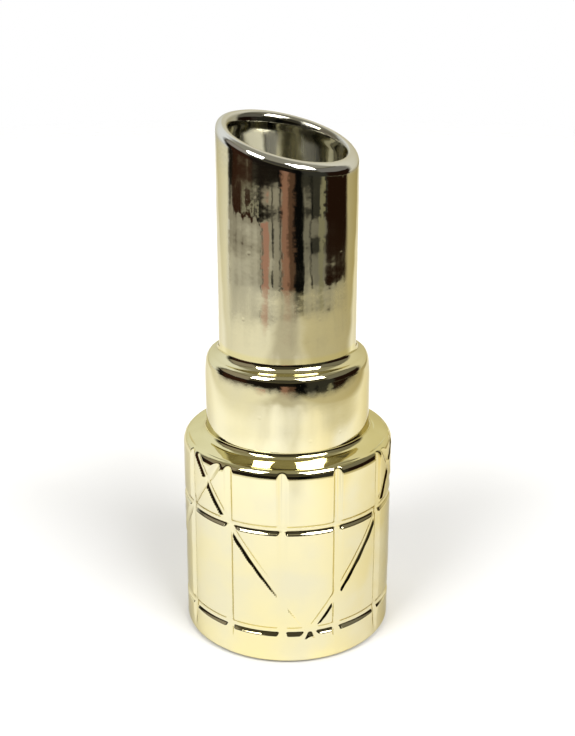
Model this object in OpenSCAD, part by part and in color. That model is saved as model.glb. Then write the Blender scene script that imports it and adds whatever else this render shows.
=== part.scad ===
// Lipstick-shaped vase: one hollow ceramic casting in three round steps, on four felt pads.
// A wide drum with engraved lines carries a plain collar, and the collar carries a plain open
// tube whose mouth is cut on a slant, as a worn lipstick is. The origin is on the vase's axis,
// on the surface that it stands on, with +Z up and -Y towards the front. Millimetres.

/* [Base drum] */
// Diameter of the drum at its foot
base_d = 102; // [101:1:106]
// How much smaller the drum's radius is at the top of its wall
base_draft = 0.6; // [0.2:0.1:1]
// Height at which the drum's wall starts to round into its shoulder
base_wall_top = 95.4; // [90:0.1:98]
// Height of the shoulder's rounded corner
base_corner_h = 4.8; // [4:0.1:6]
// Reach of that corner towards the axis
base_corner_w = 3; // [2.5:0.1:3.5]
// Angle at which the shoulder's shelf rises towards the collar
base_shelf_rise = 12; // [8:0.5:14]
// Radius of the hollow fillet where the collar leaves the drum
base_fillet_r = 3; // [2:0.1:3.5]
// Radius that rounds the drum's lower edge
base_edge_r = 1.8; // [1.2:0.1:2.4]

/* [Collar] */
// Diameter of the collar
collar_d = 78.4; // [78:0.2:80]
// Height at which the collar's wall starts to round into its shoulder
collar_wall_top = 136.3; // [130:0.1:142]
// Height of that shoulder's rounded corner
collar_corner_h = 5.3; // [4:0.1:6]
// Reach of that corner towards the axis
collar_corner_w = 3; // [2.4:0.1:3]
// Angle at which that shoulder's shelf rises towards the tube
collar_shelf_rise = 10; // [8:0.5:12]
// Radius of the hollow fillet where the tube leaves the collar
collar_fillet_r = 4; // [3:0.1:4]

/* [Tube] */
// Diameter of the tube where it leaves the collar
tube_foot_d = 64.8; // [64:0.1:65.4]
// Diameter of the tube at its mouth
tube_mouth_d = 64; // [63.4:0.1:64.4]
// Height of the slanted rim on the axis
rim_h = 240.8; // [225:0.1:250]
// Angle between the rim and the horizontal
rim_slant = 16.43; // [0:0.01:25]
// Direction of the rim's low side, turned from the front towards +X
rim_turn = 49.5; // [0:0.5:355]

/* [Walls] */
// Thickness of the cast wall
wall = 4.8; // [4:0.1:5.2]
// Diameter of the bore inside the tube
bore_d = 52; // [51:0.1:53]
// Thickness of the floor above the recess
floor_t = 5; // [4:0.5:7]

/* [Engraved lines] */
// Radius of the round tool that shapes every line
line_r = 2.9; // [2.6:0.1:3.4]
// Number of upright lines round the drum
upright_count = 12; // [6:1:16]
// Turn of the first upright line from the front towards +X
upright_turn = -2.78; // [-15:0.01:15]
// Height of the lower ring line
ring_low_z = 17.9; // [14:0.1:24]
// Height of the upper ring line
ring_high_z = 70.8; // [60:0.1:80]
// Number of V shapes round the drum
vee_count = 3; // [2:1:4]
// Turn of the first V's point from the front towards +X
vee_turn = 12.2; // [0:0.1:120]
// Turn of each arm of a V between the two ring lines
vee_spread = 45; // [30:1:50]

/* [Foot] */
// Width of the flat foot ring
foot_ring_w = 13.7; // [12:0.1:15]
// Depth of the recess inside the foot ring
recess_depth = 1.5; // [0.5:0.1:3]
// Number of felt pads
pad_count = 4; // [3:1:6]
// Diameter of a felt pad
pad_d = 10; // [8:0.5:10]
// Thickness of a felt pad
pad_t = 1; // [0.8:0.1:2]

/* [Hidden] */
$fn = 96;

// Depths of the lines, kept apart so that no two of them meet in a tangent line
upright_depth = 1.3;
ring_depth = 1.2;
vee_depth = 1;
// The arms of a V start at this height and reach their full depth over this length
vee_low_z = 8.5;
vee_fade_h = 8;

foot_z = pad_t;
base_r = base_d / 2;
base_top_r = base_r - base_draft;
collar_r = collar_d / 2;
tube_foot_r = tube_foot_d / 2;
tube_mouth_r = tube_mouth_d / 2;
bore_r = bore_d / 2;
wall_foot_z = foot_z + base_edge_r;
draft_angle = atan(base_draft / (base_wall_top - wall_foot_z));
rim_slope = tan(rim_slant);
// The tube is drawn this high, and the slanted cut takes its top away
tube_draw_z = rim_h + rim_slope * tube_foot_r + 4;

// The rim's bead stays a hair inside both faces of the wall that carries it
crest_r = tube_mouth_r - 3.6;
lip_inset = 0.05;
lip_outer_drop = 4.4;
lip_inner_drop = 3.8;
lip_root = 1;
// Below 1, this makes the bead's two halves squarer than ellipses
lip_power = 0.83;
lip_segments = 72;
lip_arc_steps = 5;

curve_steps = 9;

plating = [0.90, 0.84, 0.62];
felt = [0.86, 0.84, 0.80];

// Points on an elliptical arc round [cx, cz], from angle a0 to angle a1
function arc(cx, cz, rx, rz, a0, a1, n = curve_steps) =
    [for (i = [0:n]) let (a = a0 + (a1 - a0) * i / n) [cx + rx * cos(a), cz + rz * sin(a)]];

// Where a corner of the given reach and height has turned so far that a shelf can leave it
function corner_turn(w, h, rise) = atan(h / w / tan(rise));

// A rounded corner from a wall of radius r inwards, then a rising shelf, then the hollow fillet
// that turns up into a wall of radius next_r
function shoulder(r, wall_top, w, h, rise, next_r, fillet) =
    let (
        turn = corner_turn(w, h, rise),
        shelf_r = next_r + fillet - fillet * sin(rise),
        shelf_z = shelf_top(r, wall_top, w, h, rise, next_r, fillet)
    )
    concat(
        arc(r - w, wall_top, w, h, 0, turn),
        arc(next_r + fillet, shelf_z + fillet * cos(rise), fillet, fillet, -90 - rise, -180)
    );

// Height of that shelf where its fillet starts
function shelf_top(r, wall_top, w, h, rise, next_r, fillet) =
    let (
        turn = corner_turn(w, h, rise),
        over_r = r - w + w * cos(turn),
        shelf_r = next_r + fillet - fillet * sin(rise)
    )
    wall_top + h * sin(turn) + (over_r - shelf_r) * tan(rise);

// Half of the vase's outside, from the axis at the foot to the axis at the top
function outer_outline() =
    concat(
        [[0, foot_z]],
        arc(base_r - base_edge_r, wall_foot_z, base_edge_r, base_edge_r, -90, 0),
        shoulder(base_top_r, base_wall_top, base_corner_w, base_corner_h, base_shelf_rise,
            collar_r, base_fillet_r),
        shoulder(collar_r, collar_wall_top, collar_corner_w, collar_corner_h, collar_shelf_rise,
            tube_foot_r, collar_fillet_r),
        [[tube_mouth_r, tube_draw_z], [0, tube_draw_z]]
    );

// Radii of the hollow inside the drum and inside the collar, one wall in from the outside
base_in_r = base_top_r - wall;
collar_in_r = collar_r - wall;
floor_z = foot_z + recess_depth + floor_t;
floor_round_r = 6;
base_in_top = shelf_top(base_top_r, base_wall_top, base_corner_w, base_corner_h,
    base_shelf_rise, collar_r, base_fillet_r) - wall;
collar_in_top = shelf_top(collar_r, collar_wall_top, collar_corner_w, collar_corner_h,
    collar_shelf_rise, tube_foot_r, collar_fillet_r) - wall;
inner_round_r = 3;

// Half of the hollow, from the axis at the floor to the axis above the mouth
function inner_outline() =
    concat(
        [[0, floor_z]],
        arc(base_in_r - floor_round_r, floor_z + floor_round_r, floor_round_r, floor_round_r, -90, 0),
        arc(base_in_r - 2 * inner_round_r, base_in_top - inner_round_r, 2 * inner_round_r,
            inner_round_r, 0, 90),
        arc(collar_in_r + inner_round_r, base_in_top + inner_round_r, inner_round_r, inner_round_r,
            -90, -180),
        arc(collar_in_r - inner_round_r, collar_in_top - inner_round_r, inner_round_r, inner_round_r,
            0, 90),
        arc(bore_r + inner_round_r / 2, collar_in_top + inner_round_r / 2, inner_round_r / 2,
            inner_round_r / 2, -90, -180),
        [[bore_r, tube_draw_z + 1], [0, tube_draw_z + 1]]
    );

// Height of the slanted rim plane at distance r from the axis and angle a from +X
function rim_z(r, a) = rim_h - rim_slope * r * cos(a - (rim_turn - 90));

// The drum's wall radius at height z
function wall_r(z) = base_r - base_draft * (z - wall_foot_z) / (base_wall_top - wall_foot_z);

// Triangles over a grid of rings, each of m points; open in both directions unless wrapped
function grid_faces(n, m, wrap) =
    [
        for (i = [0:n - (wrap ? 1 : 2)], j = [0:m - 1], k = [0, 1])
            let (
                a = i * m + j,
                b = i * m + (j + 1) % m,
                c = ((i + 1) % n) * m + (j + 1) % m,
                d = ((i + 1) % n) * m + j
            )
            k == 0 ? [a, b, c] : [a, c, d]
    ];

// The same faces seen from their other side
function turned_over(faces) = [for (f = faces) [for (k = [len(f) - 1:-1:0]) f[k]]];

// The slanted cut across the tube, at the foot of the rim's rounding
module slant_cutter() {
    size = 4 * tube_foot_r;
    rotate(rim_turn - 90)
        translate([0, 0, rim_h - lip_outer_drop])
            rotate([0, rim_slant, 0])
                translate([-size / 2, -size / 2, 0])
                    cube([size, size, size]);
}

// One half of the bead's section, from the wall's face at angle a0 up to the crest or down from it
function lip_half(rx, rz, a0) =
    [
        for (i = [0:lip_arc_steps])
            let (a = a0 + 90 * i / lip_arc_steps, c = cos(a), s = sin(a))
            [crest_r + sign(c) * rx * pow(abs(c), lip_power), rz * (pow(abs(s), lip_power) - 1)]
    ];

// The rounded rim: a squarish bead swept along the slanted cut, with its root inside the wall
module rim_bead() {
    outer_face_r = tube_mouth_r - lip_inset;
    inner_face_r = bore_r + lip_inset;
    outer_half = lip_half(outer_face_r - crest_r, lip_outer_drop, 0);
    inner_half = lip_half(crest_r - inner_face_r, lip_inner_drop, 90);
    root_z = -lip_outer_drop - lip_root;
    section = concat(
        outer_half,
        [for (i = [1:lip_arc_steps]) inner_half[i]],
        [[inner_face_r, root_z], [outer_face_r, root_z]]
    );
    m = len(section);
    points = [
        for (i = [0:lip_segments - 1])
            let (a = 360 * (i + 0.5) / lip_segments)
            for (p = section)
                [p[0] * cos(a), p[0] * sin(a), rim_z(p[0], a) + p[1]]
    ];
    polyhedron(points = points, faces = grid_faces(lip_segments, m, true));
}

// One upright line: a round tool laid along the drafted wall, running out at both rounded ends
module upright_line() {
    tool_x = wall_r(foot_z) + line_r - upright_depth;
    translate([tool_x, 0, foot_z - 4])
        rotate([0, -draft_angle, 0])
            cylinder(r = line_r, h = base_wall_top + base_corner_h + 4);
}

// One ring line round the drum at height z
module ring_line(z) {
    rotate_extrude()
        translate([wall_r(z) + line_r - ring_depth, z])
            circle(r = line_r);
}

// One arm of a V: a round-bottomed groove that climbs round the drum and fades out near the foot
module vee_arm(start_turn, way) {
    low_z = vee_low_z;
    high_z = base_wall_top + 6;
    rings = 22;
    run_out = 0.4;
    turn_per_mm = vee_spread / (ring_high_z - ring_low_z);
    lean = atan(base_r * turn_per_mm * PI / 180);
    half_a = 56;
    bottom_steps = 5;
    lift = 2;
    section = concat(
        [
            for (i = [0:bottom_steps])
                let (a = half_a * (2 * i / bottom_steps - 1)) [line_r * sin(a), line_r * (1 - cos(a))]
        ],
        [[line_r * sin(half_a), line_r + lift], [-line_r * sin(half_a), line_r + lift]]
    );
    m = len(section);
    points = [
        for (i = [0:rings - 1])
            let (
                z = low_z + (high_z - low_z) * i / (rings - 1),
                depth = vee_depth - (vee_depth + run_out) * max(0, 1 - (z - low_z) / vee_fade_h),
                turn = start_turn + way * turn_per_mm * (z - ring_low_z) - 90
            )
            for (p = section)
                let (
                    side = p[0] * cos(lean),
                    r = wall_r(z) - depth + p[1],
                    a = turn - way * side / base_r * 180 / PI
                )
                [r * cos(a), r * sin(a), z + p[0] * sin(lean)]
    ];
    ends = [[for (j = [0:m - 1]) m - 1 - j], [for (j = [0:m - 1]) (rings - 1) * m + j]];
    faces = concat(grid_faces(rings, m, false), ends);
    polyhedron(points = points, faces = way > 0 ? turned_over(faces) : faces);
}

module engraved_lines() {
    for (i = [0:upright_count - 1])
        rotate(upright_turn - 90 + 360 * i / upright_count) upright_line();
    ring_line(ring_low_z);
    ring_line(ring_high_z);
    for (i = [0:vee_count - 1], way = [-1, 1])
        vee_arm(vee_turn + 360 * i / vee_count, way);
}

// The whole ceramic casting
module vase_body() {
    recess_r = base_r - base_edge_r - foot_ring_w;
    color(plating) {
        difference() {
            rotate_extrude() polygon(outer_outline());
            rotate_extrude() polygon(inner_outline());
            slant_cutter();
            engraved_lines();
            translate([0, 0, foot_z - 1])
                cylinder(r = recess_r, h = recess_depth + 1);
        }
        rim_bead();
    }
}

// One felt pad under the middle of the foot ring
module foot_pad(i) {
    pad_circle_r = base_r - base_edge_r - foot_ring_w / 2;
    color(felt)
        rotate(360 * (i - 0.5) / pad_count)
            translate([pad_circle_r, 0, 0])
                cylinder(d = pad_d, h = pad_t);
}

vase_body();
for (i = [1:pad_count])
    foot_pad(i);
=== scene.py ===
"""Looks for the lipstick-shaped vase: the plated ceramic casting, its four felt pads, the floor,
the light and the camera. Metres throughout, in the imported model's frame: +Z up, -Y to the front."""

import math

import bpy
import numpy as np
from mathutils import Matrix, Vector


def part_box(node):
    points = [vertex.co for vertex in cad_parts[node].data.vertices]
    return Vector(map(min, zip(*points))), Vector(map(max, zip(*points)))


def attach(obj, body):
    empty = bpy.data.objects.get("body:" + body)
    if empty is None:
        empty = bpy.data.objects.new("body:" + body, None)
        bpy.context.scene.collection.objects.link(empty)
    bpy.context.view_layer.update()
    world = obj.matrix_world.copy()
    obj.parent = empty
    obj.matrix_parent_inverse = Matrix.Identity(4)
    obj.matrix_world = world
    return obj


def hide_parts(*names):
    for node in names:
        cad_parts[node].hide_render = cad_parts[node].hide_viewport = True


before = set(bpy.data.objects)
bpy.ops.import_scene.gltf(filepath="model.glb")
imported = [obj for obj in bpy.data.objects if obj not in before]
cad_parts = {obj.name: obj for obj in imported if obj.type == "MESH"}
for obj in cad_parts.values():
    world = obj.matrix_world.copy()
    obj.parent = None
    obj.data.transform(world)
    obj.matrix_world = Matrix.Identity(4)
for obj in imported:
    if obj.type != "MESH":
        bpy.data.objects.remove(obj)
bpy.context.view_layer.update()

MM = 0.001
TAU = 2 * math.pi

# ---------------------------------------------------------------- dimensions of the casting

vase_low, vase_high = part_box("vase_body")
BASE_R = (vase_high.x - vase_low.x) / 2
FOOT_Z = vase_low.z
PADS = sorted(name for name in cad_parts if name.startswith("foot_pad_"))

BASE_DRAFT = 0.6 * MM
BASE_EDGE_R = 1.8 * MM
BASE_WALL_TOP = 95.4 * MM
BASE_CORNER = (3.0 * MM, 4.8 * MM)
BASE_SHELF_FALL = math.radians(12)
BASE_FILLET_R = 3.0 * MM
COLLAR_R = 39.2 * MM
COLLAR_WALL_TOP = 136.3 * MM
COLLAR_CORNER = (3.0 * MM, 5.3 * MM)
COLLAR_SHELF_FALL = math.radians(10)
COLLAR_FILLET_R = 4.0 * MM
COLLAR_LEAN = math.radians(6.5)
COLLAR_LEAN_H = 10.0 * MM
TUBE_FOOT_R = 32.4 * MM
TUBE_MOUTH_R = 32.0 * MM
BORE_R = 26.4 * MM
WALL = 4.8 * MM
FLOOR_T = 5.0 * MM

FOOT_RING_W = 15.5 * MM
RECESS_R = BASE_R - FOOT_RING_W
RECESS_DEPTH = 1.5 * MM
WALL_FOOT_Z = FOOT_Z + BASE_EDGE_R
BASE_TOP_R = BASE_R - BASE_DRAFT

# The rim lies in a slanted plane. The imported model's highest point is a little higher than its
# crest line, because the crest leans with the plane
RIM_SLOPE = math.tan(math.radians(16.43))
RIM_TURN = math.radians(49.5)
CREST_R = 28.4 * MM
LIP_R = 26.0 * MM
LIP_OUTER_DROP = 4.4 * MM
LIP_INNER_DROP = 3.8 * MM
LIP_SQUARENESS = 2.4
LIP_EASE_H = 4.0 * MM
CREST_EXCESS = 0.21 * MM
RIM_H = vase_high.z - RIM_SLOPE * CREST_R - CREST_EXCESS

# Engraved lines: a round tool, laid upright, round the drum and along the arms of each V
LINE_R = 2.9 * MM
UPRIGHT_COUNT = 12
UPRIGHT_TURN = math.radians(-2.78)
RING_HEIGHTS = (17.9 * MM, 70.8 * MM)
VEE_COUNT = 3
VEE_TURN = math.radians(12.2)
VEE_SPREAD = math.radians(45)
VEE_LOW_Z = 8.5 * MM
VEE_FADE_H = 8.0 * MM
UPRIGHT_LOW_Z = 2.5 * MM
UPRIGHT_END_H = 13.0 * MM
VEE_SHALLOW_Z = (34 * MM, 54 * MM)
VEE_SHALLOW = 0.75
VEE_POINT_Z = (20 * MM, 25 * MM)
UPRIGHT_DEPTH = 1.3 * MM
RING_DEPTH = 1.2 * MM
VEE_DEPTH = 1.0 * MM
UPRIGHT_RUN_OUT = 0.2 * MM
VEE_RUN_OUT = 0.4 * MM
EDGE_SOFTNESS = 0.5 * MM
CROSSING_SOFTNESS = 0.8 * MM

SHELF_WAVE = 0.2 * MM
SHELF_WAVE_REACH = BASE_TOP_R - COLLAR_R
SHELF_SWELLS = ((5, 0.6, 1.0), (8, 2.1, 0.7))

# Mesh density: points round the drum's engraved part, round the rest of the outside, and inside
FINE = 480
MEDIUM = 240
COARSE = 120
SUB = 8

FRONT = -math.pi / 2


# ---------------------------------------------------------------- profile of the casting

def arc(centre, radii, start, end, rows):
    """Points on an elliptical arc, from angle start to angle end in degrees."""
    a = np.radians(np.linspace(start, end, rows * SUB + 1))
    return np.stack([centre[0] + radii[0] * np.cos(a), centre[1] + radii[1] * np.sin(a)], 1)


def line(start, end, rows):
    t = np.linspace(0, 1, rows * SUB + 1)[:, None]
    return np.array(start) * (1 - t) + np.array(end) * t


def squarish_arc(centre, radii, start, end, rows):
    """Like arc, but with a flatter top and a tighter turn."""
    a = np.radians(np.linspace(start, end, rows * SUB + 1))
    c, s = np.cos(a), np.sin(a)
    power = 2 / LIP_SQUARENESS
    x = np.sign(c) * np.abs(c) ** power
    z = np.sign(s) * np.abs(s) ** power
    return np.stack([centre[0] + radii[0] * x, centre[1] + radii[1] * z], 1)


def eased(start, end, rows):
    """From start down to end, with the change of radius drawn as a soft S."""
    t = np.linspace(0, 1, rows * SUB + 1)
    share = t * t * (3 - 2 * t)
    r = start[0] + (end[0] - start[0]) * share
    return np.stack([r, start[1] + (end[1] - start[1]) * t], 1)


def leaning_wall(wall_r, start_z, end_z, lean, rows):
    """A wall that curves inwards until it leans by the given angle."""
    t = np.linspace(0, 1, rows * SUB + 1)
    r = wall_r - 0.5 * math.tan(lean) * (end_z - start_z) * t * t
    return np.stack([r, start_z + (end_z - start_z) * t], 1)


def shoulder(wall_r, wall_top, corner, fall, next_r, fillet, rows, lean=0.0):
    """A rounded corner from the wall inwards, a gently rising shelf, and the hollow fillet that
    turns up into the next wall."""
    start = math.atan(corner[1] / corner[0] * math.tan(lean))
    turn = math.atan(corner[1] / corner[0] / math.tan(fall))
    centre = (wall_r - corner[0] * math.cos(start), wall_top - corner[1] * math.sin(start))
    over = arc(centre, corner, math.degrees(start), math.degrees(turn), rows[0])
    shelf_r = next_r + fillet - fillet * math.sin(fall)
    shelf_z = over[-1][1] + (over[-1][0] - shelf_r) * math.tan(fall)
    shelf = line(over[-1], (shelf_r, shelf_z), rows[1])
    centre = (next_r + fillet, shelf_z + fillet * math.cos(fall))
    up = arc(centre, (fillet, fillet), -90 - math.degrees(fall), -180, rows[2])
    return over, shelf, up


def casting_profile():
    """The casting's outline from the middle of its underside, over the rim, to the middle of its
    inside floor, as (points, points round, slant at its start and end, engraved or not)."""
    base_over, base_shelf, base_up = shoulder(
        BASE_TOP_R, BASE_WALL_TOP, BASE_CORNER, BASE_SHELF_FALL, COLLAR_R, BASE_FILLET_R, (13, 6, 9))
    lean_z = COLLAR_WALL_TOP - COLLAR_LEAN_H
    collar_lean = leaning_wall(COLLAR_R, lean_z, COLLAR_WALL_TOP, COLLAR_LEAN, 6)
    collar_over, collar_shelf, collar_up = shoulder(
        collar_lean[-1][0], COLLAR_WALL_TOP, COLLAR_CORNER, COLLAR_SHELF_FALL, TUBE_FOOT_R,
        COLLAR_FILLET_R, (13, 2, 10), COLLAR_LEAN)
    recess_z = FOOT_Z + RECESS_DEPTH
    soft = 0.7 * MM
    lip_z = RIM_H - LIP_OUTER_DROP
    lip_in_z = RIM_H - LIP_INNER_DROP
    ease_z = lip_in_z - LIP_EASE_H
    base_in_r = BASE_TOP_R - WALL
    collar_in_r = COLLAR_R - WALL
    floor_z = recess_z + FLOOR_T
    base_in_top = base_shelf[-1][1] - WALL
    collar_in_top = collar_shelf[-1][1] - WALL
    turn = 3 * MM
    floor_turn = 6 * MM
    bore_foot_z = collar_in_top + turn / 2
    return [
        (line((0, recess_z), (RECESS_R - soft, recess_z), 8), COARSE, 0, 0, False),
        (arc((RECESS_R - soft, recess_z - soft), (soft, soft), 90, 0, 3), COARSE, 0, 0, False),
        (arc((RECESS_R + soft, FOOT_Z + soft), (soft, soft), 180, 270, 3), COARSE, 0, 0, False),
        (line((RECESS_R + soft, FOOT_Z), (BASE_R - BASE_EDGE_R, FOOT_Z), 4), MEDIUM, 0, 0, False),
        (arc((BASE_R - BASE_EDGE_R, WALL_FOOT_Z), (BASE_EDGE_R, BASE_EDGE_R), -90, 0, 7),
         FINE, 0, 0, True),
        (line((BASE_R, WALL_FOOT_Z), (BASE_TOP_R, BASE_WALL_TOP), 94), FINE, 0, 0, True),
        (base_over, FINE, 0, 0, True),
        (base_shelf, MEDIUM, 0, 0, True),
        (base_up, MEDIUM, 0, 0, False),
        (line(base_up[-1], (COLLAR_R, lean_z), 9), MEDIUM, 0, 0, False),
        (collar_lean, MEDIUM, 0, 0, False),
        (collar_over, MEDIUM, 0, 0, False),
        (collar_shelf, MEDIUM, 0, 0, False),
        (collar_up, MEDIUM, 0, 0, False),
        (line(collar_up[-1], (TUBE_MOUTH_R, lip_z), 24), MEDIUM, 0, 1, False),
        (squarish_arc((CREST_R, lip_z), (TUBE_MOUTH_R - CREST_R, LIP_OUTER_DROP), 0, 90, 13),
         MEDIUM, 1, 1, False),
        (squarish_arc((CREST_R, lip_in_z), (CREST_R - LIP_R, LIP_INNER_DROP), 90, 180, 10),
         MEDIUM, 1, 1, False),
        (eased((LIP_R, lip_in_z), (BORE_R, ease_z), 5), MEDIUM, 1, 1, False),
        (line((BORE_R, ease_z), (BORE_R, bore_foot_z), 13), MEDIUM, 1, 0, False),
        (arc((BORE_R + turn / 2, bore_foot_z), (turn / 2, turn / 2), 180, 270, 4),
         COARSE, 0, 0, False),
        (line((BORE_R + turn / 2, collar_in_top), (collar_in_r - turn, collar_in_top), 1),
         COARSE, 0, 0, False),
        (arc((collar_in_r - turn, collar_in_top - turn), (turn, turn), 90, 0, 4),
         COARSE, 0, 0, False),
        (line((collar_in_r, collar_in_top - turn), (collar_in_r, base_in_top + turn), 5),
         COARSE, 0, 0, False),
        (arc((collar_in_r + turn, base_in_top + turn), (turn, turn), 180, 270, 4),
         COARSE, 0, 0, False),
        (arc((base_in_r - 2 * turn, base_in_top - turn), (2 * turn, turn), 90, 0, 5),
         COARSE, 0, 0, False),
        (line((base_in_r, base_in_top - turn), (base_in_r, floor_z + floor_turn), 8),
         COARSE, 0, 0, False),
        (arc((base_in_r - floor_turn, floor_z + floor_turn), (floor_turn, floor_turn), 0, -90, 5),
         COARSE, 0, 0, False),
        (line((base_in_r - floor_turn, floor_z), (0, floor_z), 6), COARSE, 0, 0, False),
    ]


class Outline:
    """The profile as dense arrays; every SUB-th entry becomes a row of the mesh."""

    def __init__(self):
        points, slant, carved, around = [], [], [], []
        for part, count, slant_start, slant_end, engraved in casting_profile():
            steps = len(part) - 1
            points.append(part[:-1])
            slant.append(np.linspace(slant_start, slant_end, steps + 1)[:-1])
            carved.append(np.full(steps, engraved))
            around.append(np.full(steps, count))
        points.append(part[-1:])
        self.points = np.concatenate(points)
        self.slant = np.append(np.concatenate(slant), 0.0)
        self.carved = np.append(np.concatenate(carved), False)
        self.around = np.append(np.concatenate(around), COARSE)
        tangent = np.gradient(self.points, axis=0)
        length = np.maximum(np.linalg.norm(tangent, axis=1), 1e-9)
        self.out_r = tangent[:, 1] / length
        self.out_z = -tangent[:, 0] / length


def soft_min(a, b, softness):
    """The smaller of a and b, with the crease between them rounded over about softness."""
    share = np.clip(0.5 + 0.5 * (b - a) / softness, 0, 1)
    return b + (a - b) * share - softness * share * (1 - share)


def wrapped(angle, period):
    """The angle brought to within half a period of zero."""
    return (angle + period / 2) % period - period / 2


def drum_wall_r(z):
    return BASE_R - BASE_DRAFT * (z - WALL_FOOT_Z) / (BASE_WALL_TOP - WALL_FOOT_Z)


def line_surface(side, depth, z):
    """Radius of a round-bottomed groove's surface at a distance side from its middle."""
    rise = LINE_R - np.sqrt(np.maximum(LINE_R ** 2 - side ** 2, 0))
    return drum_wall_r(z) - depth + rise


def vee_share(z):
    """The left arm of each V runs shallower between its point and its middle."""
    above = np.clip((z - VEE_SHALLOW_Z[0]) / (VEE_SHALLOW_Z[1] - VEE_SHALLOW_Z[0]), 0, 1)
    below = np.clip((VEE_POINT_Z[1] - z) / (VEE_POINT_Z[1] - VEE_POINT_Z[0]), 0, 1)
    return VEE_SHALLOW + (1 - VEE_SHALLOW) * np.maximum(above, below)


def carve(r, theta, z):
    """The drum's radius with the engraved lines cut into it."""
    side = wrapped(theta - FRONT - UPRIGHT_TURN, TAU / UPRIGHT_COUNT) * BASE_R
    below = np.clip((UPRIGHT_LOW_Z + UPRIGHT_END_H - z) / UPRIGHT_END_H, 0, 1)
    depth = UPRIGHT_DEPTH * (1 - below) - UPRIGHT_RUN_OUT * below ** 8
    cut = line_surface(side, depth, z)
    for height in RING_HEIGHTS:
        cut = soft_min(cut, line_surface(z - height, RING_DEPTH, z), CROSSING_SOFTNESS)
    rate = VEE_SPREAD / (RING_HEIGHTS[1] - RING_HEIGHTS[0])
    lean = math.atan(BASE_R * rate)
    fade = np.clip(1 - (z - VEE_LOW_Z) / VEE_FADE_H, 0, 2)
    for way in (-1, 1):
        depth = VEE_DEPTH * (vee_share(z) if way < 0 else 1)
        depth = depth - (depth + VEE_RUN_OUT) * fade
        centre = FRONT + VEE_TURN + way * rate * (z - RING_HEIGHTS[0])
        side = wrapped(theta - centre, TAU / VEE_COUNT) * BASE_R * math.cos(lean)
        cut = soft_min(cut, line_surface(side, depth, z), CROSSING_SOFTNESS)
    return soft_min(r, cut, EDGE_SOFTNESS)


def ripple_waves():
    """The faint unevenness of a slip-cast wall, as waves round and up the casting."""
    rng = np.random.default_rng(11)
    waves = []
    for around in (2, 3, 4, 5, 6, 7, 9, 11, 14, 17):
        for reach, swell in ((110, 0.055), (420, 0.035)):
            up = rng.uniform(-1, 1) * reach
            phase = rng.uniform(0, TAU)
            height = rng.uniform(0.5, 1.0) * swell * MM * 4 / (4 + around)
            waves.append((around, up, phase, height))
    return waves


RIPPLES = ripple_waves()


def ripple(theta, z):
    total = np.zeros_like(theta)
    for around, up, phase, height in RIPPLES:
        total += height * np.sin(around * theta + up * z + phase)
    return total


def shelf_wave(theta, r):
    """The drum's shelf sags a little between its grooves."""
    share = np.clip((r - COLLAR_R) / SHELF_WAVE_REACH, 0, 1)
    swells = [height * np.sin(around * theta + phase) for around, phase, height in SHELF_SWELLS]
    return SHELF_WAVE * np.sin(math.pi * share) ** 2 * sum(swells)


def place(outline, k, theta):
    """Points of the casting's surface for profile entries k at angles theta."""
    r = outline.points[k, 0]
    z = outline.points[k, 1]
    r = np.where(outline.carved[k], carve(r, theta, z), r)
    swell = ripple(theta, z - r) * np.clip(r / COLLAR_R, 0, 1)
    r = r + swell * outline.out_r[k]
    z = z + swell * outline.out_z[k]
    on_shelf = outline.carved[k] & (outline.around[k] == MEDIUM)
    z = z + np.where(on_shelf, shelf_wave(theta, r), 0)
    tilt = RIM_SLOPE * r * np.cos(theta - FRONT - RIM_TURN)
    return np.stack([r * np.cos(theta), r * np.sin(theta), z - outline.slant[k] * tilt], -1)


def surface_normals(outline, k, theta):
    """Normals from small steps along and round the surface."""
    last = len(outline.points) - 1
    step = 0.2 * MM / BASE_R
    along = place(outline, np.minimum(k + 1, last), theta) - place(
        outline, np.maximum(k - 1, 0), theta)
    round_it = place(outline, k, theta + step) - place(outline, k, theta - step)
    normal = np.cross(round_it, along)
    length = np.linalg.norm(normal, axis=-1, keepdims=True)
    upright = np.zeros_like(normal)
    upright[..., 2] = outline.out_z[k]
    return np.where(length > 1e-14, normal / np.maximum(length, 1e-14), upright)


def ring_faces(first, second, n, m):
    """Faces between a ring of n points and the next ring of m, which is as fine or half or twice."""
    faces = []
    for j in range(min(n, m)):
        a, b = first + j, first + (j + 1) % n
        c, d = second + (j + 1) % m, second + j
        if n == m:
            faces.append((a, b, c, d))
        elif n == 2 * m:
            a, b, c2 = first + 2 * j, first + 2 * j + 1, first + (2 * j + 2) % n
            faces.extend([(a, b, d), (b, c, d), (b, c2, c)])
        else:
            d, c2, c = second + 2 * j, second + 2 * j + 1, second + (2 * j + 2) % m
            faces.extend([(a, c2, d), (a, b, c2), (b, c, c2)])
    return faces


def casting_mesh():
    outline = Outline()
    rows = np.arange(0, len(outline.points), SUB)
    points, normals, faces, starts = [], [], [], []
    total = 0
    for i, k in enumerate(rows):
        pole = i in (0, len(rows) - 1)
        n = 1 if pole else int(outline.around[k])
        theta = np.arange(n) * TAU / n
        ks = np.full(n, k)
        points.append(place(outline, ks, theta))
        normals.append(surface_normals(outline, ks, theta))
        starts.append((total, n))
        total += n
    for (first, n), (second, m) in zip(starts, starts[1:]):
        if n == 1:
            faces.extend((first, second + (j + 1) % m, second + j) for j in range(m))
        elif m == 1:
            faces.extend((first + j, first + (j + 1) % n, second) for j in range(n))
        else:
            faces.extend(ring_faces(first, second, n, m))
    mesh = bpy.data.meshes.new("vase_casting")
    mesh.from_pydata(np.concatenate(points).tolist(), [], faces)
    mesh.polygons.foreach_set("use_smooth", [True] * len(faces))
    mesh.normals_split_custom_set_from_vertices(np.concatenate(normals).tolist())
    mesh.update()
    return mesh


# ---------------------------------------------------------------- node helpers

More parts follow.
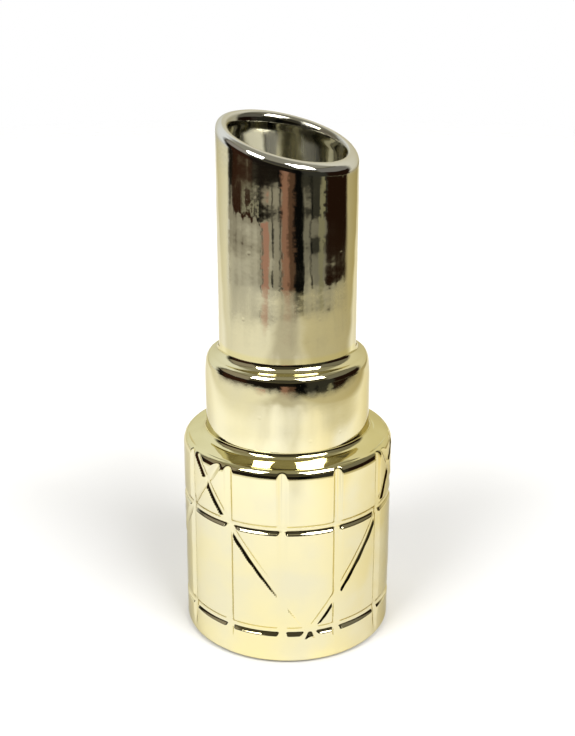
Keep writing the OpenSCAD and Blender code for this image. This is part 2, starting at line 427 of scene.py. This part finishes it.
def new_nodes(owner):
    owner.use_nodes = True
    owner.node_tree.nodes.clear()
    return owner.node_tree


def add(tree, kind, links=None, **values):
    """Adds a node; values set its properties, links its inputs by name or number."""
    node = tree.nodes.new(kind)
    for name, value in values.items():
        setattr(node, name, value)
    for name, value in (links or {}).items():
        if isinstance(value, bpy.types.NodeSocket):
            tree.links.new(value, node.inputs[name])
        else:
            node.inputs[name].default_value = value
    return node


def maths(tree, operation, *inputs):
    return add(tree, "ShaderNodeMath", dict(enumerate(inputs)), operation=operation).outputs[0]


def smooth_range(tree, value, low, high, out_low=0.0, out_high=1.0):
    links = {"Value": value, "From Min": low, "From Max": high,
             "To Min": out_low, "To Max": out_high}
    node = add(tree, "ShaderNodeMapRange", links, interpolation_type="SMOOTHSTEP")
    return node.outputs["Result"]


def band(tree, value, low, high, softness):
    """1 between low and high, with soft edges."""
    rise = smooth_range(tree, value, low - softness, low + softness)
    fall = smooth_range(tree, value, high - softness, high + softness, 1.0, 0.0)
    return maths(tree, "MULTIPLY", rise, fall)


def mixed(tree, share, first, second):
    node = add(tree, "ShaderNodeMix", data_type="RGBA", clamp_factor=True)
    sockets = {"Factor_Float": share, "A_Color": first, "B_Color": second}
    for name, value in sockets.items():
        socket = next(s for s in node.inputs if s.identifier == name)
        if isinstance(value, bpy.types.NodeSocket):
            tree.links.new(value, socket)
        else:
            socket.default_value = value
    return next(s for s in node.outputs if s.identifier == "Result_Color")


def rgb(r, g, b):
    return (r, g, b, 1.0)


# ---------------------------------------------------------------- materials

def plated_colour(tree, where, silvery):
    """Champagne gold: yellower low down, greyer higher up, silver at the rim. Painted shade makes it
    richer and darker towards both sides and most towards +X, standing in for a darker, warmer room
    mirrored there."""
    axes = add(tree, "ShaderNodeSeparateXYZ", {0: where}).outputs
    patches = add(tree, "ShaderNodeTexNoise", {"Vector": where, "Scale": 14.0, "Detail": 2.0})
    drift = maths(tree, "MULTIPLY_ADD", patches.outputs["Fac"], 0.06, -0.03)
    level = maths(tree, "ADD", axes["Z"], drift)
    low = smooth_range(tree, level, 0.0, 0.10)
    colour = mixed(tree, low, rgb(0.88, 0.80, 0.46), rgb(0.86, 0.80, 0.53))
    high = smooth_range(tree, level, 0.10, 0.16)
    colour = mixed(tree, high, colour, rgb(0.80, 0.76, 0.58))
    # Painted shade: the +X side darker and warmer, the -X side a little greyer, standing in for a
    # darker, warmer room mirrored on those sides
    right = smooth_range(tree, axes["X"], 0.010, 0.050)
    colour = mixed(tree, right, colour, rgb(0.67, 0.57, 0.27))
    left = smooth_range(tree, axes["X"], -0.050, -0.026, 0.6, 0.0)
    colour = mixed(tree, left, colour, rgb(0.72, 0.66, 0.42))
    clouds = add(tree, "ShaderNodeTexNoise", {"Vector": where, "Scale": 38.0, "Detail": 3.0})
    cloudy = smooth_range(tree, clouds.outputs["Fac"], 0.35, 0.70, 0.0, 0.5)
    colour = mixed(tree, cloudy, colour, rgb(0.74, 0.715, 0.58))
    return mixed(tree, silvery, colour, rgb(0.77, 0.765, 0.71))


def plated_bump(tree, where, waviness, on_shelf):
    """Orange peel and pinholes everywhere, a broader waviness where it is asked for, and the
    uneven top of the drum's shelf."""
    swells = add(tree, "ShaderNodeTexNoise", {"Vector": where, "Scale": 48.0, "Detail": 2.0})
    shelf_bump = add(tree, "ShaderNodeBump", {"Strength": on_shelf, "Distance": 0.8 * MM,
                                              "Height": swells.outputs["Fac"]})
    waves = add(tree, "ShaderNodeTexNoise", {"Vector": where, "Scale": 75.0, "Detail": 3.0})
    wave_bump = add(tree, "ShaderNodeBump", {"Strength": waviness, "Distance": 0.10 * MM,
                                             "Height": waves.outputs["Fac"],
                                             "Normal": shelf_bump.outputs[0]})
    peel = add(tree, "ShaderNodeTexNoise", {"Vector": where, "Scale": 320.0, "Detail": 2.0})
    peel_bump = add(tree, "ShaderNodeBump", {"Strength": 0.5, "Distance": 0.015 * MM,
                                             "Height": peel.outputs["Fac"],
                                             "Normal": wave_bump.outputs[0]})
    cells = add(tree, "ShaderNodeTexVoronoi", {"Vector": where, "Scale": 90.0})
    pits = smooth_range(tree, cells.outputs["Distance"], 0.02, 0.11)
    pit_bump = add(tree, "ShaderNodeBump", {"Strength": 0.35, "Distance": 0.04 * MM,
                                            "Height": pits, "Normal": peel_bump.outputs[0]})
    return pit_bump.outputs[0]


# Upright bands of milky, less metallic plating inside the tube, painted cream as painted highlights
# that stand in for bright reflections: from and to along X, softness, share
MILKY_PAINTED_HIGHLIGHT_BANDS = [
    ((-19.5 * MM, -12.5 * MM), 1.5 * MM, 0.80),
    ((-11.5 * MM, -3.0 * MM), 2.0 * MM, 0.24),
    ((7.0 * MM, 15.0 * MM), 2.0 * MM, 0.10),
]
# Painted shade inside the tube, darker bands standing in for darker reflections: at both sides, down
# the middle, and under the rim
PAINTED_SHADE_LEFT = (-24 * MM, -20 * MM)
PAINTED_SHADE_RIGHT = (16 * MM, 22 * MM)
PAINTED_SHADE_MIDDLE = (-3 * MM, 7 * MM)
PAINTED_SHADE_SOFTNESS = 2 * MM
PAINTED_SHADE_UNDER_RIM = (10 * MM, 7 * MM)
PAINTED_SHADE_SHARE = 0.6
MARK_WANDER = 10 * MM


def most(tree, values):
    """The largest of several values."""
    result = values[0]
    for value in values[1:]:
        result = maths(tree, "MAXIMUM", result, value)
    return result


def inside_painted_light(tree, where, above):
    """Shares of painted shade and of painted highlight inside the tube, in upright, ragged-edged
    bands. The highlight bands are also less metallic plating, painted cream.
    """
    streaks = add(tree, "ShaderNodeTexNoise", {"Vector": where, "Scale": 55.0, "Detail": 3.0})
    wander = maths(tree, "MULTIPLY_ADD", streaks.outputs["Fac"], MARK_WANDER, -MARK_WANDER / 2)
    x = add(tree, "ShaderNodeSeparateXYZ", {0: where}).outputs["X"]
    x = maths(tree, "ADD", x, wander)
    above = maths(tree, "ADD", above, wander)
    under_rim = smooth_range(tree, above, RIM_H - PAINTED_SHADE_UNDER_RIM[0], RIM_H - PAINTED_SHADE_UNDER_RIM[1])
    painted_shade = most(tree, [
        smooth_range(tree, x, *PAINTED_SHADE_LEFT, 1.0, 0.0),
        smooth_range(tree, x, *PAINTED_SHADE_RIGHT),
        band(tree, x, *PAINTED_SHADE_MIDDLE, PAINTED_SHADE_SOFTNESS),
        under_rim,
    ])
    milky_painted_highlight = most(tree, [
        maths(tree, "MULTIPLY", band(tree, x, *limits, softness), share)
        for limits, softness, share in MILKY_PAINTED_HIGHLIGHT_BANDS
    ])
    milky_painted_highlight = maths(tree, "MULTIPLY", milky_painted_highlight, maths(tree, "SUBTRACT", 1.0, under_rim))
    return maths(tree, "MULTIPLY", painted_shade, PAINTED_SHADE_SHARE), milky_painted_highlight


# Heights of the drum's flat shelf, of the drum's whole top and of the collar's top
SHELF_HEIGHTS = (99.2 * MM, 102.5 * MM)
DRUM_TOP_HEIGHTS = (98.5 * MM, 104.5 * MM)
COLLAR_TOP_HEIGHTS = (138 * MM, 147 * MM)
SHELF_SOFTNESS = 0.8 * MM
TOP_SOFTNESS = 1.0 * MM
COLLAR_TOP_SHARE = 0.7
# How much painted shade darkens and yellows the drum's and the collar's tops, dimming the windows
# mirrored there
PAINTED_SHOULDER_SHADE_SHARE = 0.7
# The tube's wall is wavier than the drum's and the collar's
TUBE_WAVES_START = (142 * MM, 165 * MM)


def plated_material():
    """Mirror plating over glazed ceramic."""
    mat = bpy.data.materials.new("plated_ceramic")
    tree = new_nodes(mat)
    where = add(tree, "ShaderNodeTexCoord").outputs["Object"]
    height = add(tree, "ShaderNodeSeparateXYZ", {0: where}).outputs["Z"]
    slanted = (RIM_SLOPE * math.cos(FRONT + RIM_TURN), RIM_SLOPE * math.sin(FRONT + RIM_TURN), 1.0)
    above = add(tree, "ShaderNodeVectorMath", {0: where, 1: slanted}, operation="DOT_PRODUCT")
    near_rim = smooth_range(tree, above.outputs["Value"], RIM_H - 6 * MM, RIM_H - 2.5 * MM)
    flat = add(tree, "ShaderNodeVectorMath", {0: where, 1: (1.0, 1.0, 0.0)}, operation="MULTIPLY")
    reach = add(tree, "ShaderNodeVectorMath", {0: flat.outputs[0]}, operation="LENGTH")
    inside = smooth_range(tree, reach.outputs["Value"], BORE_R + 0.2 * MM, BORE_R + 1.2 * MM,
                          1.0, 0.0)
    silvery = maths(tree, "MAXIMUM", near_rim, inside)
    colour = plated_colour(tree, where, silvery)
    painted_shade, milky_painted_highlight = inside_painted_light(tree, where, above.outputs["Value"])
    painted_shade = maths(tree, "MULTIPLY", inside, painted_shade)
    milky_painted_highlight = maths(tree, "MULTIPLY", inside, milky_painted_highlight)
    # Painted shade: darker upright bands inside the tube and under the rim
    colour = mixed(tree, painted_shade, colour, rgb(0.22, 0.20, 0.11))
    # Painted highlight: cream, less metallic bands inside the tube that catch the window light
    creamy_painted_highlight = maths(tree, "MINIMUM", maths(tree, "MULTIPLY", milky_painted_highlight, 3.0), 1.0)
    colour = mixed(tree, creamy_painted_highlight, colour, rgb(0.93, 0.89, 0.66))
    metal = maths(tree, "SUBTRACT", 1.0, milky_painted_highlight)
    haze = add(tree, "ShaderNodeTexNoise", {"Vector": where, "Scale": 60.0, "Detail": 4.0})
    rough = smooth_range(tree, haze.outputs["Fac"], 0.3, 0.75, 0.03, 0.08)
    upright = add(tree, "ShaderNodeVectorMath", {0: where, 1: (1.0, 1.0, 0.12)},
                  operation="MULTIPLY").outputs[0]
    drips = add(tree, "ShaderNodeTexNoise", {"Vector": upright, "Scale": 70.0, "Detail": 3.0})
    hazy = smooth_range(tree, drips.outputs["Fac"], 0.40, 0.62, 0.02, 0.30)
    rough = maths(tree, "MULTIPLY_ADD", inside, hazy, rough)
    waviness = smooth_range(tree, height, *TUBE_WAVES_START, 0.1, 0.8)
    on_shelf = band(tree, height, *SHELF_HEIGHTS, SHELF_SOFTNESS)
    drum_top = band(tree, height, *DRUM_TOP_HEIGHTS, TOP_SOFTNESS)
    collar_top = band(tree, height, *COLLAR_TOP_HEIGHTS, TOP_SOFTNESS)
    collar_top = maths(tree, "MULTIPLY", collar_top, COLLAR_TOP_SHARE)
    waviness = maths(tree, "MAXIMUM", waviness, collar_top)
    # Painted shade on the drum's and the collar's tops, dimming the windows mirrored there
    painted_shoulder_shade = maths(tree, "MULTIPLY", maths(tree, "MAXIMUM", drum_top, collar_top), PAINTED_SHOULDER_SHADE_SHARE)
    colour = mixed(tree, painted_shoulder_shade, colour, rgb(0.84, 0.77, 0.38))
    shader = add(tree, "ShaderNodeBsdfPrincipled",
                 {"Base Color": colour, "Metallic": metal, "Roughness": rough,
                  "Specular Tint": rgb(0.74, 0.70, 0.56),
                  "Normal": plated_bump(tree, where, waviness, on_shelf)})
    add(tree, "ShaderNodeOutputMaterial", {"Surface": shader.outputs[0]})
    return mat


def bare_material():
    """The unplated clay under the foot."""
    mat = bpy.data.materials.new("bare_clay")
    tree = new_nodes(mat)
    where = add(tree, "ShaderNodeTexCoord").outputs["Object"]
    cloud = add(tree, "ShaderNodeTexNoise", {"Vector": where, "Scale": 120.0, "Detail": 6.0})
    grains = add(tree, "ShaderNodeTexVoronoi", {"Vector": where, "Scale": 900.0})
    speck = smooth_range(tree, grains.outputs["Distance"], 0.05, 0.2)
    colour = mixed(tree, cloud.outputs["Fac"], rgb(0.74, 0.70, 0.62), rgb(0.86, 0.83, 0.77))
    colour = mixed(tree, speck, rgb(0.55, 0.49, 0.40), colour)
    bump = add(tree, "ShaderNodeBump", {"Strength": 0.5, "Distance": 0.06 * MM,
                                        "Height": cloud.outputs["Fac"]})
    rough = smooth_range(tree, cloud.outputs["Fac"], 0.2, 0.8, 0.6, 0.85)
    shader = add(tree, "ShaderNodeBsdfPrincipled",
                 {"Base Color": colour, "Roughness": rough, "Normal": bump.outputs[0]})
    add(tree, "ShaderNodeOutputMaterial", {"Surface": shader.outputs[0]})
    return mat


def felt_material():
    mat = bpy.data.materials.new("felt")
    tree = new_nodes(mat)
    where = add(tree, "ShaderNodeTexCoord").outputs["Object"]
    tangle = add(tree, "ShaderNodeTexNoise",
                 {"Vector": where, "Scale": 1500.0, "Detail": 5.0, "Distortion": 2.5})
    colour = mixed(tree, tangle.outputs["Fac"], rgb(0.62, 0.60, 0.55), rgb(0.88, 0.86, 0.82))
    bump = add(tree, "ShaderNodeBump", {"Strength": 0.8, "Distance": 0.15 * MM,
                                        "Height": tangle.outputs["Fac"]})
    shader = add(tree, "ShaderNodeBsdfPrincipled",
                 {"Base Color": colour, "Roughness": 0.95, "Sheen Weight": 0.4,
                  "Normal": bump.outputs[0]})
    add(tree, "ShaderNodeOutputMaterial", {"Surface": shader.outputs[0]})
    return mat


# ---------------------------------------------------------------- pieces

def build_vase():
    mesh = casting_mesh()
    mesh.materials.append(plated_material())
    mesh.materials.append(bare_material())
    bare_limit = FOOT_Z + RECESS_DEPTH + 0.1 * MM
    bare_r = BASE_R - BASE_EDGE_R
    for face in mesh.polygons:
        centre = face.center
        if centre.z < bare_limit and math.hypot(centre.x, centre.y) < bare_r:
            face.material_index = 1
    vase = bpy.data.objects.new("vase_casting", mesh)
    bpy.context.scene.collection.objects.link(vase)
    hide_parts("vase_body")
    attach(vase, "root")


def pad_mesh(name, centre, radius, low, high, seed):
    """A punched felt disc with soft, slightly furry edges."""
    rng = np.random.default_rng(seed)
    around, soft = 72, 0.22 * MM
    outline = [(0.0, low), (radius * 0.4, low), (radius * 0.7, low), (radius - soft, low)]
    for a in (-60, -30, 0, 30, 60):
        lift = soft if a < 0 else high - low - soft
        side = math.radians(a)
        outline.append((radius - soft + soft * math.cos(side), low + lift + soft * math.sin(side)))
    outline += [(radius - soft, high), (radius * 0.7, high), (radius * 0.4, high), (0.0, high)]
    points, faces = [], []
    for i, (r, z) in enumerate(outline):
        count = around if 0 < i < len(outline) - 1 else 1
        for j in range(count):
            theta = TAU * j / around
            furry = rng.uniform(-0.05, 0.0) * MM if r > radius * 0.9 else 0.0
            rr = r + furry
            points.append((centre.x + rr * math.cos(theta), centre.y + rr * math.sin(theta), z))
    for i in range(1, len(outline) - 2):
        first = 1 + (i - 1) * around
        faces.extend(ring_faces(first, first + around, around, around))
    last = len(points) - 1
    top = last - around
    faces.extend((0, 1 + (j + 1) % around, 1 + j) for j in range(around))
    faces.extend((top + j, top + (j + 1) % around, last) for j in range(around))
    mesh = bpy.data.meshes.new(name)
    mesh.from_pydata(points, [], faces)
    mesh.polygons.foreach_set("use_smooth", [True] * len(faces))
    mesh.update()
    return mesh


def build_pads():
    felt = felt_material()
    for number, node in enumerate(PADS, 1):
        low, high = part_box(node)
        name = f"felt_pad_{number}"
        mesh = pad_mesh(name, (low + high) / 2, (high.x - low.x) / 2, low.z, high.z, number)
        mesh.materials.append(felt)
        pad = bpy.data.objects.new(name, mesh)
        bpy.context.scene.collection.objects.link(pad)
        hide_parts(node)
        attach(pad, "root")


# ---------------------------------------------------------------- floor, light and camera

# Where the floor changes, in metres: from and to
FADE_IN_FRONT = (0.46, 0.72)
FADE_BEHIND = (1.3, 1.9)
FRONT_TO_BACK = (-0.08, 0.12)
PAINTED_SHADOW_REACH = (0.12, 0.32)
FRONT_PART = (-0.16, -0.08)
MIDDLE_PART = (0.03, 0.12)
MIDDLE_BONUS = 0.05
DIM_REACH = (0.24, 0.46)
RIGHT_PART = (0.02, 0.22)
PAST_SIDES = (0.25, 0.39)
PAST_RIGHT = (0.0, 0.02)
# How far the fading and the side parts spread with distance along Y and X
FADE_SPREAD = 0.33
SIDE_SPREAD = 0.28
FADE_WANDER = 0.30

PAPER = rgb(0.87, 0.87, 0.87), rgb(0.91, 0.91, 0.91)
# Painted shadow near the vase
PAPER_PAINTED_SHADOW = rgb(0.79, 0.79, 0.80)
# Painted shade seen only in the plating: darker, warmer parts of the floor standing in for a dimmer
# room
MIRRORED_RIGHT = rgb(0.84, 0.79, 0.62)
MIRRORED_DIM = rgb(0.40, 0.375, 0.30)
MIRRORED_PAST_LEFT = rgb(0.66, 0.64, 0.54)
MIRRORED_PAST_RIGHT = rgb(0.42, 0.38, 0.25)


def floor_material():
    """Matt white paper with a painted shadow that greys it a little near the vase, and whose far part
    fades out into the pale surroundings. What the plating mirrors of it has painted shade: dimmer and
    warmer away from the vase, standing in for a furnished room."""
    mat = bpy.data.materials.new("paper_floor")
    tree = new_nodes(mat)
    where = add(tree, "ShaderNodeTexCoord").outputs["Object"]
    axes = add(tree, "ShaderNodeSeparateXYZ", {0: where}).outputs
    reach = add(tree, "ShaderNodeVectorMath", {0: where}, operation="LENGTH").outputs["Value"]
    wander = add(tree, "ShaderNodeTexNoise", {"Vector": where, "Scale": 4.0, "Detail": 3.0})
    shift = maths(tree, "MULTIPLY_ADD", wander.outputs["Fac"], FADE_WANDER, -FADE_WANDER / 2)
    far = maths(tree, "ADD", reach, shift)
    front = smooth_range(tree, far, *FADE_IN_FRONT, 1.0, 0.0)
    behind = smooth_range(tree, reach, *FADE_BEHIND, 1.0, 0.0)
    sideways = maths(tree, "ABSOLUTE", axes["X"])
    backward = maths(tree, "MULTIPLY_ADD", sideways, -FADE_SPREAD, axes["Y"])
    side = smooth_range(tree, backward, *FRONT_TO_BACK)
    alpha = add(tree, "ShaderNodeMix", {"Factor": side, "A": front, "B": behind},
                data_type="FLOAT").outputs["Result"]
    fibres = add(tree, "ShaderNodeTexNoise", {"Vector": where, "Scale": 40.0, "Detail": 5.0})
    colour = mixed(tree, fibres.outputs["Fac"], *PAPER)
    # Painted shadow: the paper a little greyer within about 0.3 m of the vase
    painted_shadow_near = smooth_range(tree, reach, *PAINTED_SHADOW_REACH, 1.0, 0.0)
    plain = mixed(tree, painted_shadow_near, colour, PAPER_PAINTED_SHADOW)
    colour = plain
    frontward = smooth_range(tree, axes["Y"], *FRONT_PART, 1.0, 0.0)
    middle = smooth_range(tree, sideways, *MIDDLE_PART, MIDDLE_BONUS, 0.0)
    dim = smooth_range(tree, maths(tree, "ADD", far, middle), *DIM_REACH)
    dim = maths(tree, "MULTIPLY", dim, frontward)
    rightward = smooth_range(tree, axes["X"], *RIGHT_PART)
    rightward = maths(tree, "MULTIPLY", rightward, frontward)
    colour = mixed(tree, rightward, colour, MIRRORED_RIGHT)
    colour = mixed(tree, dim, colour, MIRRORED_DIM)
    past_sides = maths(tree, "MULTIPLY_ADD", axes["Y"], -SIDE_SPREAD, sideways)
    past_left = smooth_range(tree, past_sides, *PAST_SIDES)
    past_right = maths(tree, "MULTIPLY", past_left, smooth_range(tree, axes["X"], *PAST_RIGHT))
    colour = mixed(tree, past_left, colour, MIRRORED_PAST_LEFT)
    colour = mixed(tree, past_right, colour, MIRRORED_PAST_RIGHT)
    seen = add(tree, "ShaderNodeLightPath").outputs["Is Camera Ray"]
    colour = mixed(tree, seen, colour, plain)
    alpha = add(tree, "ShaderNodeMix", {"Factor": seen, "A": alpha, "B": behind},
                data_type="FLOAT").outputs["Result"]
    paper = add(tree, "ShaderNodeBsdfDiffuse", {"Color": colour})
    clear = add(tree, "ShaderNodeBsdfTransparent")
    blend = add(tree, "ShaderNodeMixShader",
                {0: alpha, 1: clear.outputs[0], 2: paper.outputs[0]})
    add(tree, "ShaderNodeOutputMaterial", {"Surface": blend.outputs[0]})
    return mat


def build_floor():
    reach, around = 2.0, 96
    points = [(0.0, 0.0, 0.0)]
    points += [(reach * math.cos(TAU * i / around), reach * math.sin(TAU * i / around), 0.0)
               for i in range(around)]
    faces = [(0, 1 + i, 1 + (i + 1) % around) for i in range(around)]
    mesh = bpy.data.meshes.new("floor")
    mesh.from_pydata(points, [], faces)
    mesh.materials.append(floor_material())
    floor = bpy.data.objects.new("floor", mesh)
    bpy.context.scene.collection.objects.link(floor)


def patch(tree, azimuth, height, box, softness):
    """How far a direction lies inside a box of azimuths and heights, in degrees."""
    left, right, low, high = box
    across, up = softness
    parts = [
        smooth_range(tree, azimuth, left - across, left + across),
        smooth_range(tree, azimuth, right - across, right + across, 1.0, 0.0),
        smooth_range(tree, height, low - up, low + up),
        smooth_range(tree, height, high - up, high + up, 1.0, 0.0),
    ]
    share = parts[0]
    for part in parts[1:]:
        share = maths(tree, "MULTIPLY", share, part)
    return share


# The room that the plating mirrors: azimuth from the front towards +X, then height, in degrees
BLACK = (0.003, 0.003, 0.003)
DARK_BROWN = (0.032, 0.013, 0.007)
ROOM = [
    # left, right, low, high, softness across and up, colour
    ((-400, 400, 44, 100), (3, 5.0), (0.30, 0.285, 0.23)),
    ((-400, 400, -100, 15), (2, 2.0), (0.010, 0.008, 0.006)),
    ((-400, 400, 17, 42), (3, 2.5), (0.06, 0.055, 0.045)),
    ((-106, -56, 12, 40), (3, 2.0), (0.30, 0.27, 0.24)),
    ((56, 120, 12, 40), (3, 2.0), (0.20, 0.19, 0.17)),
    ((-120, 6, -100, -11.4), (4, 0.8), (0.31, 0.29, 0.24)),
    ((-120, -24, -100, -14.2), (6, 1.5), (0.52, 0.50, 0.43)),
    ((6, 120, -100, -11.6), (3, 0.7), (0.20, 0.19, 0.155)),
    ((6, 120, -100, -15.4), (6, 1.5), (0.38, 0.36, 0.28)),
    ((-97, -58, -12.4, 8), (2, 0.3), DARK_BROWN),
    ((-58, -40, -11.9, 8), (3, 0.4), (0.012, 0.009, 0.007)),
    ((-76, -44, -11.25, -10.5), (3, 0.12), (0.27, 0.26, 0.20)),
    ((-90, -56, -10.25, -9.85), (3, 0.10), (0.16, 0.14, 0.10)),
    ((24, 69, -11.2, 12), (3, 0.5), (0.035, 0.034, 0.027)),
    ((65, 118, -15.4, 12), (1.5, 0.5), (0.016, 0.007, 0.004)),
    ((66, 110, -9.2, -8.2), (3, 0.10), (0.13, 0.12, 0.08)),
    ((-9, 5, -17.6, -7.5), (1.5, 0.6), (0.29, 0.155, 0.11)),
    ((2, 12, -17.2, -8.5), (1.5, 0.5), (0.10, 0.055, 0.035)),
    ((11, 25, -17.0, 12), (1.0, 0.4), BLACK),
    ((-42, -31, -18.0, -12.4), (0.8, 0.3), (0.40, 0.22, 0.17)),
    ((-44.5, -43, -16, -9), (0.5, 0.5), BLACK),
    ((-24, -22, -15, -11.5), (0.5, 0.5), BLACK),
    ((-12.5, -10.5, -17, -8), (0.5, 0.5), BLACK),
    ((38, 40.5, -16, -9), (0.5, 0.5), BLACK),
    ((54, 61, -15.6, -9.6), (1.0, 0.5), (0.24, 0.23, 0.15)),
    ((-400, -113, -50, 56), (6, 9.0), (0.88, 0.90, 0.92)),
    ((119, 400, -50, 56), (5, 9.0), (0.80, 0.77, 0.66)),
    ((-400, -113, -50, -4), (6, 4.0), (0.72, 0.73, 0.76)),
    ((119, 400, -50, -4), (5, 4.0), (0.52, 0.48, 0.38)),
]
CEILING = (0.18, 0.16, 0.09)


def bent_ray(tree, way):
    """The ray's azimuth and height in degrees, bent by slow waves and by finer, flatter ones."""
    slow = add(tree, "ShaderNodeTexNoise", {"Vector": way, "Scale": 5.0, "Detail": 3.0})
    bend = add(tree, "ShaderNodeVectorMath", {0: slow.outputs["Color"], 1: (0.5, 0.5, 0.5)},
               operation="SUBTRACT").outputs[0]
    bend = add(tree, "ShaderNodeVectorMath", {0: bend, "Scale": 0.08},
               operation="SCALE").outputs[0]
    bent = add(tree, "ShaderNodeVectorMath", {0: way, 1: bend}, operation="ADD").outputs[0]
    bent = add(tree, "ShaderNodeVectorMath", {0: bent}, operation="NORMALIZE").outputs[0]
    axes = add(tree, "ShaderNodeSeparateXYZ", {0: bent}).outputs
    back = maths(tree, "MULTIPLY", axes["Y"], -1.0)
    azimuth = maths(tree, "DEGREES", maths(tree, "ARCTAN2", axes["X"], back))
    height = maths(tree, "DEGREES", maths(tree, "ARCSINE", axes["Z"]))
    flat = add(tree, "ShaderNodeVectorMath", {0: way, 1: (1.0, 1.0, 14.0)},
               operation="MULTIPLY").outputs[0]
    ragged = add(tree, "ShaderNodeTexNoise", {"Vector": flat, "Scale": 5.0, "Detail": 4.0})
    offset = add(tree, "ShaderNodeSeparateColor", {0: ragged.outputs["Color"]}).outputs
    azimuth = maths(tree, "ADD", azimuth, maths(tree, "MULTIPLY_ADD", offset[0], 20.0, -10.0))
    height = maths(tree, "ADD", height, maths(tree, "MULTIPLY_ADD", offset[1], 2.0, -1.0))
    return azimuth, height


def build_surroundings():
    world = bpy.data.worlds.new("surroundings")
    bpy.context.scene.world = world
    tree = new_nodes(world)
    azimuth, height = bent_ray(tree, add(tree, "ShaderNodeTexCoord").outputs["Generated"])
    room = rgb(*CEILING)
    for box, softness, colour in ROOM:
        room = mixed(tree, patch(tree, azimuth, height, box, softness), room, rgb(*colour))
    seen = add(tree, "ShaderNodeLightPath").outputs["Is Camera Ray"]
    colour = mixed(tree, seen, room, rgb(1.0, 1.0, 1.0))
    light = add(tree, "ShaderNodeBackground", {"Color": colour, "Strength": 1.0})
    add(tree, "ShaderNodeOutputWorld", {"Surface": light.outputs[0]})


def area_light(name, azimuth, height, distance, size, radiance):
    """A rectangular light that faces the middle of the vase and shines with the given radiance."""
    data = bpy.data.lights.new(name, "AREA")
    data.shape = "RECTANGLE"
    data.size, data.size_y = size
    data.energy = radiance * math.pi * size[0] * size[1]
    light = bpy.data.objects.new(name, data)
    a, h = math.radians(azimuth), math.radians(height)
    way = Vector((math.sin(a) * math.cos(h), -math.cos(a) * math.cos(h), math.sin(h)))
    light.location = way * distance + Vector((0, 0, 0.12))
    light.rotation_euler = way.to_track_quat("Z", "Y").to_euler()
    light.visible_camera = False
    bpy.context.scene.collection.objects.link(light)
    return light


# Name, azimuth and height in degrees, distance, size and radiance of each window
WINDOWS = [
    ("window_left", -43, 44, 10.0, (3.9, 4.4), 11.0),
    ("window_right", 40, 44, 10.0, (5.1, 4.4), 11.0),
]
FILL = ("fill", 0, 89, 4.0, (6.0, 6.0), 0.33)


def build_lights():
    for window in WINDOWS:
        area_light(*window)
    fill = area_light(*FILL)
    fill.visible_glossy = False


CAMERA_PLACE = (0.0, -0.4950, 0.3134)
CAMERA_DIP = math.radians(20.22)
LENS = 54.1
SENSOR = 36.0


def build_camera():
    data = bpy.data.cameras.new("camera")
    data.sensor_fit = "VERTICAL"
    data.sensor_height = SENSOR
    data.lens = LENS
    camera = bpy.data.objects.new("camera", data)
    camera.location = CAMERA_PLACE
    camera.rotation_euler = (math.pi / 2 - CAMERA_DIP, 0.0, 0.0)
    bpy.context.scene.collection.objects.link(camera)
    bpy.context.scene.camera = camera


def main():
    build_camera()
    build_vase()
    build_pads()
    build_floor()
    build_surroundings()
    build_lights()
    bpy.context.scene.view_settings.view_transform = "Standard"
    bpy.context.scene.cycles.glossy_bounces = 10


main()
